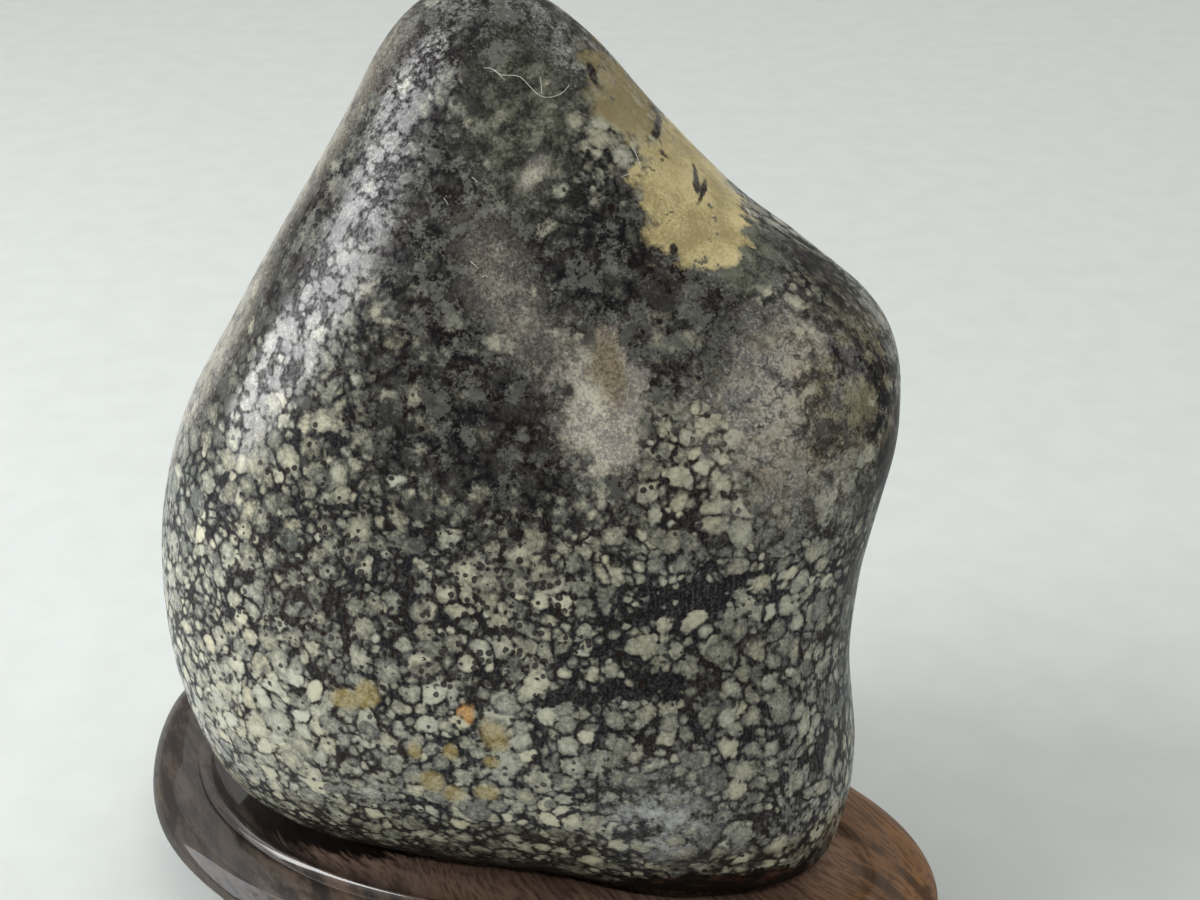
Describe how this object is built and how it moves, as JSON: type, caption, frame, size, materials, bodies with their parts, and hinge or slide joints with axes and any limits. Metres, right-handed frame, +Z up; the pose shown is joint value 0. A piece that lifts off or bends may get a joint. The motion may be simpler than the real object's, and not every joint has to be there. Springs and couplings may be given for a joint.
{
  "type": "viewing stone on a wooden stand",
  "caption": "Water-worn spotted viewing stone, upright and tapering, resting in the cut seat of a low dark wooden stand; a free-standing desk or shelf ornament.",
  "frame": {"origin": "middle of the stand's flat underside", "axes": "+Z up, +X along the stand to the right as seen from the show face, -Y towards the viewer"},
  "size_m": [0.1044, 0.0736, 0.1172],
  "materials": {
    "stone": "polished dark stone with close-packed pale olive spots, a cream-yellow patch and a few matte hollows",
    "wood": "dark reddish-brown wood under glossy lacquer, with fine open pores"
  },
  "bodies": {
    "root": {"stone": "stone", "stand": "wood"}
  },
  "joints": []
}
